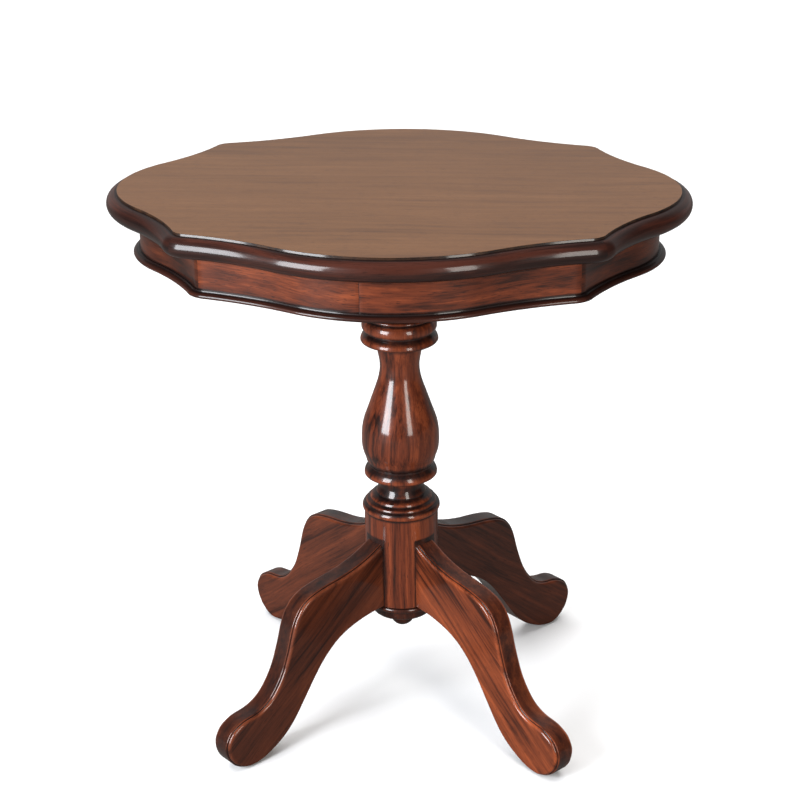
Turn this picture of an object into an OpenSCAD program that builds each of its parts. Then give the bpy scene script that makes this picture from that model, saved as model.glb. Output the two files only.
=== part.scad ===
// Oval tilt top table: a shaped top with a deep apron, hinged on a block at the
// head of a turned pillar that stands on four sawn legs.
// Millimetres. The floor is z = 0, the front is -Y, the long way of the top is X.

/* [Top] */
// Height of the table's top face above the floor
table_h = 740; // [730:5:760]
// Half length of the flat face, from the middle to the end of a long lobe
face_reach = 360; // [350:5:370]
// Radius of the four lobes before the round outline is drawn in to an oval
lobe_r = 218; // [212:1:224]
// Radius of the hollow sweep on each side of an ear
hollow_r = 367; // [350:1:390]
// Radius of an ear's tip
ear_r = 25; // [22:1:28]
// Distance of an ear's centre from the middle
ear_at = 332; // [328:1:336]
// Depth of the oval as a share of its length
oval = 0.755; // [0.74:0.005:0.77]
// Thickness of the top
top_t = 30; // [28:1:32]
// Height of the step between the flat face and the rounded edge
edge_step = 3; // [2:0.5:4]

/* [Apron] */
// Half length of the apron, from the middle to the end of a long lobe
apron_reach = 334; // [330:1:338]
// Radius of the apron's lobes before the oval
apron_lobe_r = 187; // [184:1:191]
// Radius of the apron's hollow sweeps
apron_hollow_r = 460; // [440:5:480]
// Radius of the apron's ears
apron_ear_r = 25; // [24:1:27]
// Distance of an apron ear's centre from the middle
apron_ear_at = 303; // [300:1:306]
// Height of the apron with its moulding
apron_h = 56; // [52:1:58]
// Thickness of the apron
apron_t = 15; // [13:0.5:15]
// Height of the moulding round the apron's lower edge
moulding_h = 9; // [8:0.5:10]
// How far the moulding stands out
moulding_out = 9; // [7:0.5:10]

/* [Tilt] */
// Width of the tilt block
block_w = 180; // [160:5:190]
// Depth of the tilt block
block_d = 230; // [226:1:236]
// Thickness of the tilt block
block_t = 35; // [32:1:36]
// Height of the two bearers
bearer_h = 38; // [36:1:40]
// Thickness of the two bearers
bearer_t = 28; // [24:1:30]
// Length of the two bearers
bearer_len = 376; // [340:4:380]
// Pivot pin diameter
pin_d = 10; // [8:1:12]
// Pivot height below the underside of the top
pivot_drop = 18; // [17:0.5:19]

/* [Catch] */
// Diameter of the sliding bolt
bolt_d = 8; // [7:0.5:9]
// Travel of the sliding bolt
bolt_travel = 13; // [11:1:14]

/* [Pillar] */
// Radius of the hub that carries the legs
hub_r = 50; // [49:0.5:52]
// Height of the hub's lower face
hub_z = 154; // [152:1:156]
// Height of the hub's upper end, where the rings start
hub_top = 287.5; // [285:0.5:290]

/* [Legs] */
// Thickness of a leg
leg_t = 33; // [30:1:34]
// Depth of the dovetail that holds a leg in the hub
tail_depth = 17; // [14:1:19]
// Height of the glides under the feet
glide_h = 3; // [3:0.5:4]

/* [Hidden] */

mahogany = [0.36, 0.13, 0.07];
dark_wood = [0.24, 0.09, 0.06];
pale_wood = [0.70, 0.52, 0.34];
brass = [0.78, 0.62, 0.30];
steel = [0.62, 0.62, 0.64];
eps = 0.01;

// ---- heights ----
under_z = table_h - top_t;                  // underside of the top
apron_z = under_z - apron_h;                // lower edge of the apron
block_gap = 0.5;                            // air between the block and the top
block_z = under_z - block_gap - block_t;    // lower face of the tilt block

// ---- shaped outlines ----
// A shape is [lobe radius, reach, hollow radius, ear radius, ear centre]. It is drawn
// round, with eight equal parts, and then drawn in along Y to the oval.
face_shape = [lobe_r, face_reach, hollow_r, ear_r, ear_at];
apron_shape = [apron_lobe_r, apron_reach, apron_hollow_r, apron_ear_r, apron_ear_at];
lobe_steps = 8;
hollow_steps = 5;
ear_steps = 2;
eighth = lobe_steps + hollow_steps + ear_steps;     // stations in an eighth
lap = 8 * eighth;                                   // stations in a whole outline
// Stations of the four ears: back right, back left, front left, front right
ear_stations = [for (k = [0:3]) (2 * k + 1) * eighth];
back_joint = 2 * eighth;                    // the two halves of the back apron meet here
front_joint = 6 * eighth - 2;               // and those of the front apron here

function unit(a) = [cos(a), sin(a)];
function lobe_c(s) = [s[1] - s[0], 0];
function ear_c(s) = s[4] * unit(45);
// Centre of the hollow arc that touches both the lobe and the ear from outside
function hollow_c(s) =
    let (a = s[0] + s[2], b = s[3] + s[2], v = ear_c(s) - lobe_c(s), d = norm(v))
    let (along = (a * a - b * b + d * d) / (2 * d), out = sqrt(a * a - along * along))
    lobe_c(s) + (v * along + [v.y, -v.x] * out) / d;
function heading(v) = atan2(v.y, v.x);
// Station i of the first eighth: [point, direction of the outward normal]
function eighth_at(s, i) =
    let (h = hollow_c(s), a1 = heading(h - lobe_c(s)), a2 = heading(h - ear_c(s)))
    i <= lobe_steps
        ? let (a = a1 * i / lobe_steps) [lobe_c(s) + s[0] * unit(a), a]
    : i <= lobe_steps + hollow_steps
        ? let (a = a1 + (a2 - a1) * (i - lobe_steps) / hollow_steps) [h - s[2] * unit(a), a]
        : let (a = a2 + (45 - a2) * (i - lobe_steps - hollow_steps) / ear_steps)
          [ear_c(s) + s[3] * unit(a), a];
// Station i of the first quarter, the second eighth mirrored from the first
function quarter_at(s, i) =
    i <= eighth
        ? eighth_at(s, i)
        : let (e = eighth_at(s, 2 * eighth - i)) [[e[0].y, e[0].x], 90 - e[1]];
function turned(v, q) = [v.x * cos(90 * q) - v.y * sin(90 * q), v.x * sin(90 * q) + v.y * cos(90 * q)];
// Station i of the oval outline, d outside it
function station(s, i, d = 0) =
    let (j = (i + lap) % lap, q = floor(j / (2 * eighth)), e = quarter_at(s, j - 2 * eighth * q))
    let (p = turned(e[0], q), a = e[1] + 90 * q, n = [oval * cos(a), sin(a)])
    [p.x, p.y * oval] + d * n / norm(n);
function outline(s, d = 0) = [for (i = [0:lap - 1]) station(s, i, d)];
function run(s, from, to, d = 0) = [for (i = [from:to]) station(s, i, d)];
function backwards(list) = [for (i = [len(list) - 1:-1:0]) list[i]];

// A section of [distance out, height] points carried round the outline
module swept(s, from, to, section) {
    m = len(section);
    n = to - from + 1;
    points = [for (i = [from:to]) for (q = section) let (p = station(s, i, q[0])) [p.x, p.y, q[1]]];
    sides = [
        for (i = [0:n - 2]) for (k = [0:m - 1])
        let (l = (k + 1) % m)
        for (f = [[i * m + k, i * m + l, i * m + m + l], [i * m + k, i * m + m + l, i * m + m + k]])
        f
    ];
    ends = [backwards([for (k = [0:m - 1]) k]), [for (k = [0:m - 1]) (n - 1) * m + k]];
    polyhedron(points, concat(sides, ends), convexity = 6);
}

// ---- top ----
edge_nose_r = (top_t - edge_step) / 2;
edge_land = 0.5;                            // flat at the foot of the step
nose_steps = 8;
edge_section = concat(
    [[0, under_z], [0, table_h - edge_step]],
    [for (i = [0:nose_steps]) let (a = 90 - 180 * i / nose_steps)
        [edge_land + edge_nose_r * cos(a), under_z + edge_nose_r + edge_nose_r * sin(a)]]
);
module top_panel() {
    color(mahogany)
    difference() {
        translate([0, 0, under_z]) linear_extrude(top_t) polygon(outline(face_shape));
        bearer_screws();
        catch_screws();
    }
}

module edge_run(from, to) {
    color(dark_wood) swept(face_shape, from, to, backwards(edge_section));
}

// ---- apron ----
module apron_run(from, to) {
    color(mahogany)
    translate([0, 0, apron_z])
    linear_extrude(apron_h)
    polygon(concat(run(apron_shape, from, to), backwards(run(apron_shape, from, to, -apron_t))));
}

moulding_section = [
    [0, apron_z],
    [moulding_out * 0.55, apron_z],
    [moulding_out * 0.9, apron_z + moulding_h * 0.12],
    [moulding_out, apron_z + moulding_h * 0.35],
    [moulding_out * 0.9, apron_z + moulding_h * 0.58],
    [moulding_out * 0.6, apron_z + moulding_h * 0.72],
    [moulding_out * 0.35, apron_z + moulding_h * 0.8],
    [moulding_out * 0.25, apron_z + moulding_h],
    [0, apron_z + moulding_h]
];

module moulding_run(from, to) {
    color(dark_wood) swept(apron_shape, from, to, moulding_section);
}

// ---- blocks glued behind the apron ----
corner_span = 3;                            // stations on each side of an ear
corner_h = 38;
joint_span = 1;                             // stations on each side of a butt joint
joint_depth = 16;
joint_h = 40;
rub_h = 22;
rub_depth = 12;
corner_depth = 4;

// A block that fits the inside of the apron between two stations and has a flat back
module backing_block(from, to, depth, height) {
    inner = run(apron_shape, from, to, -apron_t);
    first = inner[0];
    last = inner[len(inner) - 1];
    away = [first.y - last.y, last.x - first.x] / norm(last - first);
    translate([0, 0, under_z - height])
    linear_extrude(height)
    polygon(concat(inner, [last + away * depth, first + away * depth]));
}

module corner_block(k) {
    color(pale_wood)
    backing_block(ear_stations[k] - corner_span, ear_stations[k] + corner_span, corner_depth, corner_h);
}

module joint_block(mid) {
    color(pale_wood) backing_block(mid - joint_span, mid + joint_span, joint_depth, joint_h);
}

// Small rubbed blocks, one station long: two on each end lobe and one in each of four hollows
rub_stations = [-5, 4, eighth * 2 - 11, eighth * 2 + 10, eighth * 4 - 5, eighth * 4 + 4,
                eighth * 6 - 11, eighth * 6 + 10];
module glue_blocks() {
    color(pale_wood)
    for (i = rub_stations) backing_block(i, i + 1, rub_depth, rub_h);
}

// ---- bearers and tilt block ----
bearer_gap = 1;                             // air between a bearer and the block
bearer_x = block_w / 2 + bearer_gap;        // inner face of a bearer
pivot_z = under_z - pivot_drop;
pivot_reach = pivot_drop - block_gap;       // pivot to the block's top and back faces
pivot_y = block_d / 2 - pivot_reach;
pin_clearance = 0.15;                       // on the diameter, in the bearers
pin_hold = 30;                              // length of a pin pressed in the block
pin_len = pin_hold + bearer_gap + bearer_t - 1;
pin_x = block_w / 2 - pin_hold;
bearer_end = 18;                            // sloped cut at each end of a bearer
screw_d = 5;
screw_head_d = 10;
screw_head_h = 3;
screw_len = 42;
screw_in = 16;                              // length of a bearer screw in the top
screw_rows = [-150, -20, 150];

module across_x(x) {
    translate([x, 0, 0]) rotate([90, 0, 90]) children();
}

// A wood screw standing on its head, point up, head at the origin
module wood_screw(len, shank, head, head_h) {
    cylinder(h = head_h, d = head, $fn = 32);
    cylinder(h = len, d = shank, $fn = 32);
}

module bearer_screws() {
    color(steel)
    for (side = [-1, 1])
    for (y = screw_rows)
    translate([side * (bearer_x + bearer_t / 2), y, under_z + screw_in - screw_len])
    wood_screw(screw_len, screw_d, screw_head_d, screw_head_h);
}

module bearer(side) {
    half = bearer_len / 2;
    low = under_z - bearer_h;
    color(pale_wood)
    difference() {
        across_x(side > 0 ? bearer_x : -bearer_x - bearer_t)
        linear_extrude(bearer_t)
        polygon([
            [-half, under_z], [half, under_z], [half, low + bearer_end], [half - bearer_end, low],
            [bearer_end - half, low], [-half, low + bearer_end]
        ]);
        across_x(side > 0 ? bearer_x - eps : -bearer_x - bearer_t - eps)
        translate([pivot_y, pivot_z, 0])
        cylinder(h = bearer_t + 2 * eps, d = pin_d + pin_clearance, $fn = 48);
        bearer_screws();
        for (y = screw_rows)
        translate([side * (bearer_x + bearer_t / 2), y, low - eps])
        cylinder(h = screw_in + bearer_h - screw_len + 2 * eps, d = screw_head_d, $fn = 32);
    }
}

module pivot_pin(side) {
    color(steel)
    across_x(side > 0 ? pin_x : -pin_x - pin_len)
    translate([pivot_y, pivot_z, 0])
    cylinder(h = pin_len, d = pin_d, $fn = 48);
}

tenon_r = 22;
wedge_w = 8;
wedge_tip = 2;
wedge_h = 26;
wedge_len = 40;

module tenon_wedge() {
    top_z = under_z - block_gap;
    low_z = top_z - wedge_h;
    color(pale_wood)
    across_x(-wedge_len / 2)
    linear_extrude(wedge_len)
    polygon([[-wedge_w / 2, top_z], [wedge_w / 2, top_z], [wedge_tip / 2, low_z], [-wedge_tip / 2, low_z]]);
}

module tilt_block() {
    top_z = under_z - block_gap;
    color(dark_wood)
    difference() {
        across_x(-block_w / 2)
        linear_extrude(block_w)
        union() {
            translate([-block_d / 2, block_z]) square([block_d - pivot_reach, block_t]);
            translate([-block_d / 2, block_z]) square([block_d, block_t - pivot_reach]);
            translate([pivot_y, pivot_z]) circle(r = pivot_reach, $fn = 96);
        }
        translate([0, 0, block_z - eps]) cylinder(h = block_t + 2 * eps, r = tenon_r, $fn = 64);
        for (side = [-1, 1]) pivot_pin(side);
        keeper_screws();
        keeper();
        translate([0, -block_d / 2 - eps, bolt_z])
        rotate([-90, 0, 0])
        cylinder(h = bolt_travel + bolt_room, d = bolt_d + bolt_room, $fn = 48);
    }
}

// ---- catch ----
bolt_z = under_z - 13;                      // axis of the sliding bolt
bolt_len = 70;
bolt_back = 5;                              // gap between the bolt's tip and the block at rest
plate_t = 2;
keeper_t = 2;
keeper_w = 40;
keeper_h = 18;
bolt_tip_y = -block_d / 2 - bolt_back;
plate_w = 34;
plate_from = bolt_tip_y - bolt_len + 12;    // front end of the base plate
plate_to = bolt_tip_y - 4;
guide_len = 8;
guide_w = 16;
bolt_clearance = 0.15;                      // on the diameter, in the guides
knob_y = bolt_tip_y - bolt_len / 2 + 2;
catch_screw_d = 3;
catch_screw_head_d = 6;
catch_screw_head_h = 1.2;
catch_screw_len = 14;
plate_screw_in = [5, 8];                    // from the plate's side and end to a screw
keeper_screw_in = 6;                        // from the keeper's end to a screw
bolt_room = 2;                              // slack round and behind the bolt in the block

module along_y(y, x = 0, z = bolt_z) {
    translate([x, y, z]) rotate([-90, 0, 0]) children();
}

module catch_screws() {
    color(brass)
    for (x = [-1, 1])
    for (y = [plate_from + plate_screw_in.y, plate_to - plate_screw_in.y])
    translate([x * (plate_w / 2 - plate_screw_in.x), y, under_z - plate_t])
    wood_screw(catch_screw_len, catch_screw_d, catch_screw_head_d, catch_screw_head_h);
}

module catch_plate() {
    color(brass)
    difference() {
        union() {
            translate([-plate_w / 2, plate_from, under_z - plate_t])
            cube([plate_w, plate_to - plate_from, plate_t]);
            for (y = [plate_from, plate_to - guide_len]) {
                translate([-guide_w / 2, y, bolt_z]) cube([guide_w, guide_len, under_z - plate_t - bolt_z]);
                along_y(y) cylinder(h = guide_len, d = guide_w, $fn = 48);
            }
        }
        along_y(plate_from - eps)
        cylinder(h = plate_to - plate_from + 2 * eps, d = bolt_d + bolt_clearance, $fn = 48);
        catch_screws();
    }
}

module slide_bolt() {
    color(brass)
    difference() {
        along_y(bolt_tip_y - bolt_len) cylinder(h = bolt_len, d = bolt_d, $fn = 48);
        bolt_knob();
    }
}

knob_stem_d = 4;
knob_stem_len = 12;
knob_d = 11;
module bolt_knob() {
    color(brass)
    translate([0, knob_y, bolt_z])
    rotate([180, 0, 0]) {
        cylinder(h = knob_stem_len, d = knob_stem_d, $fn = 32);
        translate([0, 0, knob_stem_len + knob_d / 2 - 1]) sphere(d = knob_d, $fn = 48);
    }
}

module keeper_screws() {
    color(brass)
    for (x = [-1, 1])
    along_y(-block_d / 2, x * (keeper_w / 2 - keeper_screw_in))
    wood_screw(catch_screw_len, catch_screw_d, catch_screw_head_d, catch_screw_head_h);
}

// Let into the front of the block, flush with it
module keeper() {
    color(brass)
    difference() {
        translate([-keeper_w / 2, -block_d / 2, bolt_z - keeper_h / 2]) cube([keeper_w, keeper_t, keeper_h]);
        along_y(-block_d / 2 - eps) cylinder(h = keeper_t + 2 * eps, d = bolt_d + 1, $fn = 48);
        keeper_screws();
    }
}

// ---- turned and sawn outlines ----
// A smooth line through knots [x, z, heading], as cubic curves whose handles are a share
// of each stretch
handle = 0.36;
curve_steps = 6;
function cubic(a, b, c, d, t) =
    a * pow(1 - t, 3) + 3 * b * t * pow(1 - t, 2) + 3 * c * t * t * (1 - t) + d * pow(t, 3);
function stretch(p, q) =
    let (a = [p[0], p[1]], d = [q[0], q[1]], reach = handle * norm(d - a))
    [for (i = [0:curve_steps - 1])
        cubic(a, a + reach * unit(p[2]), d - reach * unit(q[2]), d, i / curve_steps)];
function smooth(knots) = concat(
    [for (i = [0:len(knots) - 2]) for (p = stretch(knots[i], knots[i + 1])) p],
    [let (k = knots[len(knots) - 1]) [k[0], k[1]]]
);
// A half round bead of radius r at its fullest, from height z1 up to z2, standing out by w
function bead(r, w, z1, z2) =
    [for (a = [-90:18:90]) [r - w + w * cos(a), (z1 + z2) / 2 + (z2 - z1) / 2 * sin(a)]];

// ---- pillar ----
neck_r = 26.4;
vase_r = 52.1;
pillar_shoulder = block_z;
finial_dowel_d = 12;
finial_dowel_len = 26;

// Each ring has a thin lip, flat below and rounded back above to the next
pillar_outline = concat(
    [[0, hub_z], [hub_r, hub_z], [hub_r, hub_top]],
    smooth([[50.4, hub_top + 0.3, 0], [52.7, hub_top + 3.6, 90], [50, hub_top + 9.5, 135]]),
    smooth([[47.8, hub_top + 10.2, 75], [47.4, hub_top + 12.6, 105], [44.5, hub_top + 15.1, 145]]),
    smooth([[42.1, hub_top + 16, 75], [41.6, hub_top + 18.4, 110], [36, hub_top + 23.1, 145]]),
    smooth([[33.6, hub_top + 23.8, 60], [33.2, hub_top + 27, 110], [29.6, hub_top + 35.5, 92],
            [31, hub_top + 48.5, 75]]),
    smooth([[48.2, hub_top + 51.7, 10], [49.2, hub_top + 54, 92], [43, hub_top + 65.5, 135]]),
    smooth([[42.8, hub_top + 67, 48], [48.7, hub_top + 81.9, 68], [vase_r, hub_top + 102.5, 90],
            [46.7, hub_top + 137.7, 110], [35.6, hub_top + 169.5, 109], [neck_r, hub_top + 208.5, 90],
            [28.8, hub_top + 226.5, 80], [30.5, hub_top + 241.5, 85]]),
    smooth([[46, hub_top + 243.8, 8], [51.5, hub_top + 246.5, 92], [45, hub_top + 256.9, 138]]),
    [[44.4, hub_top + 257.6], [44.4, hub_top + 259.8]],
    smooth([[46.5, hub_top + 260.2, 10], [49.8, hub_top + 265.3, 90], [44.2, hub_top + 277.3, 150]]),
    smooth([[44.4, hub_top + 277.7, 0], [47.5, hub_top + 280.4, 90], [44.5, hub_top + 284, 150]]),
    smooth([[43.5, hub_top + 284.4, 110], [38, hub_top + 306.5, 90], [40, hub_top + 341.5, 80]]),
    bead(46, 5, hub_top + 343.5, hub_top + 355.5),
    smooth([[42.5, hub_top + 356.5, 45], [50, pillar_shoulder - 14, 70]]),
    [[51, pillar_shoulder - 12], [51, pillar_shoulder], [tenon_r, pillar_shoulder],
     [tenon_r, under_z - block_gap], [0, under_z - block_gap]]
);

leg_angles = [225, 315, 135, 45];           // front left, front right, back left, back right
tail_root = 10;                             // width of a dovetail where it leaves the leg
tail_end = 16;                              // width of a dovetail at its inner end
tail_top = 244;

// The dovetail of one leg, its inner end towards the pillar's axis
module tail() {
    root = sqrt(hub_r * hub_r - tail_root * tail_root);     // just inside the hub's round side
    translate([0, 0, hub_z])
    linear_extrude(tail_top - hub_z)
    polygon([
        [hub_r - tail_depth, -tail_end / 2], [hub_r - tail_depth, tail_end / 2],
        [root, tail_root / 2], [hub_r + 1, tail_root / 2],
        [hub_r + 1, -tail_root / 2], [root, -tail_root / 2]
    ]);
}

module pillar() {
    color(mahogany)
    difference() {
        rotate_extrude($fn = 96) polygon(pillar_outline);
        for (a = leg_angles) rotate([0, 0, a]) tail();
        translate([0, 0, hub_z - eps]) cylinder(h = finial_dowel_len, d = finial_dowel_d, $fn = 48);
        tenon_wedge();
    }
}

// ---- legs ----
glide_r = 9;
glide_at = 281;                             // distance of a glide from the axis
glide_socket = 3;
foot_z = glide_h;
leg_start = hub_r - 6;                       // the leg's end, before the hub is cut out of it
leg_crown = 252;                            // height of that end

leg_top = [
    [50, 249, -30], [104, 228, -13], [158, 219, -13], [191, 202, -50], [208, 165, -75],
    [219, 131, -70], [238, 97, -52], [267, 77, -16], [296, 71, -24], [314, 58, -58], [320, 41, -92]
];
leg_sole = [
    [309, 14, -130], [281, foot_z, 180], [243, 14, 152], [204, 47, 127], [172, 92, 126],
    [138, 129, 142], [98, 148, 165], [50, hub_z + 1, 178]
];

module leg(k) {
    side = concat([[leg_start, leg_crown]], smooth(concat(leg_top, leg_sole)), [[leg_start, hub_z + 1]]);
    color(mahogany)
    rotate([0, 0, leg_angles[k]])
    difference() {
        union() {
            difference() {
                translate([0, leg_t / 2, 0]) rotate([90, 0, 0]) linear_extrude(leg_t) polygon(side);
                translate([0, 0, hub_z - 1]) cylinder(h = hub_top - hub_z, r = hub_r, $fn = 96);
            }
            intersection() {
                tail();
                translate([0, 0, hub_z]) cylinder(h = tail_top - hub_z, r = hub_r, $fn = 96);
            }
        }
        translate([glide_at, 0, 0]) cylinder(h = glide_h + glide_socket, r = glide_r, $fn = 48);
    }
}

module glides() {
    color(steel)
    for (a = leg_angles)
    rotate([0, 0, a])
    translate([glide_at, 0, 0])
    cylinder(h = glide_h + glide_socket, r = glide_r, $fn = 48);
}

// ---- cap and drop under the hub ----
cap_h = 23;
cap_outline = concat(
    [[0, hub_z - cap_h], [38, hub_z - cap_h]],
    smooth([[40, hub_z - cap_h + 0.6, 40], [43, hub_z - cap_h + 6, 75], [45, hub_z - 9.5, 60]]),
    bead(49.5, 3.5, hub_z - 9, hub_z - 1.5),
    [[46, hub_z - 1], [46, hub_z], [0, hub_z]]
);

module base_cap() {
    color(dark_wood)
    difference() {
        rotate_extrude($fn = 96) polygon(cap_outline);
        translate([0, 0, hub_z - cap_h - eps])
        cylinder(h = cap_h + 2 * eps, d = finial_dowel_d, $fn = 48);
    }
}

drop_h = 27;
module drop_finial() {
    low = hub_z - cap_h - drop_h;
    color(dark_wood)
    rotate_extrude($fn = 64)
    polygon(concat(
        smooth([[0, low, 0], [10, low + 3.5, 35], [16, low + 14, 90], [12.5, low + 21, 125]]),
        [[12.5, low + drop_h], [finial_dowel_d / 2, low + drop_h],
         [finial_dowel_d / 2, hub_z + finial_dowel_len - eps], [0, hub_z + finial_dowel_len - eps]]
    ));
}

top_panel();
edge_run(ear_stations[3] - lap, ear_stations[0]);  // edge_right
edge_run(ear_stations[0], ear_stations[1]);  // edge_back
edge_run(ear_stations[1], ear_stations[2]);  // edge_left
edge_run(ear_stations[2], ear_stations[3]);  // edge_front
apron_run(ear_stations[3] - lap, ear_stations[0]);  // apron_right
apron_run(ear_stations[0], back_joint);  // apron_back_right
apron_run(back_joint, ear_stations[1]);  // apron_back_left
apron_run(ear_stations[1], ear_stations[2]);  // apron_left
apron_run(ear_stations[2], front_joint);  // apron_front_left
apron_run(front_joint, ear_stations[3]);  // apron_front_right
moulding_run(ear_stations[3] - lap, ear_stations[0]);  // moulding_right
moulding_run(ear_stations[0], ear_stations[1]);  // moulding_back
moulding_run(ear_stations[1], ear_stations[2]);  // moulding_left
moulding_run(ear_stations[2], ear_stations[3]);  // moulding_front
corner_block(0);  // corner_block_br
corner_block(1);  // corner_block_bl
corner_block(2);  // corner_block_fl
corner_block(3);  // corner_block_fr
joint_block(back_joint);  // joint_block_back
joint_block(front_joint);  // joint_block_front
glue_blocks();
bearer(-1);  // bearer_left
bearer(1);  // bearer_right
bearer_screws();
tilt_block();
pivot_pin(-1);  // pivot_pin_left
pivot_pin(1);  // pivot_pin_right
tenon_wedge();
catch_plate();
catch_screws();
slide_bolt();
bolt_knob();
keeper();
keeper_screws();
pillar();
leg(0);  // leg_front_left
leg(1);  // leg_front_right
leg(2);  // leg_back_left
leg(3);  // leg_back_right
base_cap();
drop_finial();
glides();
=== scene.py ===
# Oval tilt top table: a shaped mahogany top with a deep apron, hinged on a block at the
# head of a turned pillar that stands on four sawn legs. Metres, floor at z = 0, front -Y.
import math

import bmesh
import bpy
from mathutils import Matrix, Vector


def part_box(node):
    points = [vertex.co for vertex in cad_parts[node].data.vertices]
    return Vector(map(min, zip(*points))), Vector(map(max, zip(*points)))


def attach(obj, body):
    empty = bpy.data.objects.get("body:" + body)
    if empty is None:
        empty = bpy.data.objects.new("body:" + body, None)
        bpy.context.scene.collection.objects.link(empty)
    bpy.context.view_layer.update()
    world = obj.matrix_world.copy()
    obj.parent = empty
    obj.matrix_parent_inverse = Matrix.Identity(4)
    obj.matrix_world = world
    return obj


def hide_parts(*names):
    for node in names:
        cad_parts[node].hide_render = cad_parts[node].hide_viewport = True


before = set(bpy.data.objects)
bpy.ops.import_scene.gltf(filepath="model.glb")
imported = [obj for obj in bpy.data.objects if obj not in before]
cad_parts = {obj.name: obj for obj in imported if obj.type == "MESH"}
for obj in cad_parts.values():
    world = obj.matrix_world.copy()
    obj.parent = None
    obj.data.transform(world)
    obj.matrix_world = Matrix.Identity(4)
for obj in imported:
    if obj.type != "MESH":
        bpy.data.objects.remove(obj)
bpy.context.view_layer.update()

# ---- studio ----
# A white paper floor in a room that is dim on the camera's side. A tall cool softbox
# stands at the left, a narrower and weaker warm one at the right, and broad soft light
# comes from overhead.
SCENE = bpy.context.scene
SCENE.view_settings.view_transform = "Standard"
MIDDLE = Vector((0.0, 0.0, 0.45))


def put(tree, kind, inputs=None, **settings):
    """A node of one kind in a tree, with its settings, its values and its links."""
    made = tree.nodes.new(kind)
    for name, value in settings.items():
        setattr(made, name, value)
    for key, value in (inputs or {}).items():
        if isinstance(value, bpy.types.NodeSocket):
            tree.links.new(value, made.inputs[key])
        else:
            made.inputs[key].default_value = value
    return made


def stand(name, data, place):
    made = bpy.data.objects.new(name, data)
    SCENE.collection.objects.link(made)
    made.location = place
    return made


camera = bpy.data.cameras.new("camera")
camera.lens = 89.54
camera.sensor_width = 36.0
SCENE.camera = stand("camera", camera, (0.169, -2.427, 1.499))
SCENE.camera.rotation_euler = [math.radians(a) for a in (66.56, 0.6165, 3.718)]

paper_sheet = bmesh.new()
bmesh.ops.create_grid(paper_sheet, x_segments=1, y_segments=1, size=9.0)
floor_mesh = bpy.data.meshes.new("floor")
paper_sheet.to_mesh(floor_mesh)
paper_sheet.free()
floor = stand("floor", floor_mesh, (0, 0, 0))
paper = bpy.data.materials.new("white paper")
paper.use_nodes = True
bright = paper.node_tree.nodes["Principled BSDF"]
bright.inputs["Base Color"].default_value = (0.9, 0.9, 0.905, 1)
bright.inputs["Roughness"].default_value = 0.8
bright.inputs["Specular IOR Level"].default_value = 0.05
# the paper throws little light back up, as if it lay well below the table
bounce = put(paper.node_tree, "ShaderNodeBsdfDiffuse", {"Color": (0.12, 0.115, 0.11, 1)})
looked_at = put(paper.node_tree, "ShaderNodeLightPath").outputs["Is Camera Ray"]
both = {0: looked_at, 1: bounce.outputs[0], 2: bright.outputs[0]}
sheet = put(paper.node_tree, "ShaderNodeMixShader", both)
paper.node_tree.links.new(sheet.outputs[0], paper.node_tree.nodes["Material Output"].inputs["Surface"])
floor_mesh.materials.append(paper)

# name, angle from the front towards +X, distance, height, width, tallness, power, colour
for name, swing, reach, height, wide, tall, power, colour in (
    ("left softbox", -42.0, 2.3, 1.15, 1.0, 1.6, 92.0, (0.93, 0.96, 1.0)),
    ("right softbox", 33.0, 2.3, 1.15, 0.55, 1.6, 25.0, (1.0, 0.96, 0.9)),
):
    box = bpy.data.lights.new(name, "AREA")
    box.shape = "RECTANGLE"
    box.size = wide
    box.size_y = tall
    box.energy = power
    box.color = colour
    turn = math.radians(swing)
    lamp = stand(name, box, (reach * math.sin(turn), -reach * math.cos(turn), height))
    lamp.rotation_euler = (MIDDLE - lamp.location).to_track_quat("-Z", "Y").to_euler()

ceiling = bpy.data.lights.new("ceiling light", "SUN")
ceiling.energy = 3.9
ceiling.angle = math.radians(75)
overhead = stand("ceiling light", ceiling, (0, 0.4, 2.8))
overhead.rotation_euler = (math.radians(-9), math.radians(-4), 0)
overhead.visible_glossy = False

room = bpy.data.worlds.new("white room")
SCENE.world = room
room.use_nodes = True
tree = room.node_tree
way = put(tree, "ShaderNodeTexCoord").outputs["Generated"]
ways = put(tree, "ShaderNodeSeparateXYZ", {0: way})
depth = put(
    tree, "ShaderNodeMapRange",
    {"Value": ways.outputs["Y"], "From Min": 0.3, "From Max": 0.75, "To Min": 0.035, "To Max": 0.3},
    interpolation_type="SMOOTHSTEP",
).outputs[0]
seen = put(tree, "ShaderNodeLightPath").outputs["Is Camera Ray"]
power = put(tree, "ShaderNodeMix", {0: seen, 2: depth, 3: 1.0}).outputs[0]
tree.links.new(power, tree.nodes["Background"].inputs["Strength"])
tree.nodes["Background"].inputs["Color"].default_value = (1, 1, 1, 1)

# ---- pillar ----
# One piece of mahogany turned between centres: a plain hub that takes the four legs, three
# stepped rings, a collar, a vase, a neck of rings and a tenon up through the tilt block.
MM = 0.001
HUB_R, HUB_Z, HUB_TOP = 50.0, 154.0, 287.5
VASE_R, NECK_R = 52.1, 26.4
BLOCK_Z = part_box("tilt_block")[0].z / MM
TENON_R, TENON_TOP = 22.0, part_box("tilt_block")[1].z / MM
LATHE_STEPS = 144
WELD = 2e-6                         # points nearer than this are one point, in metres


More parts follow.
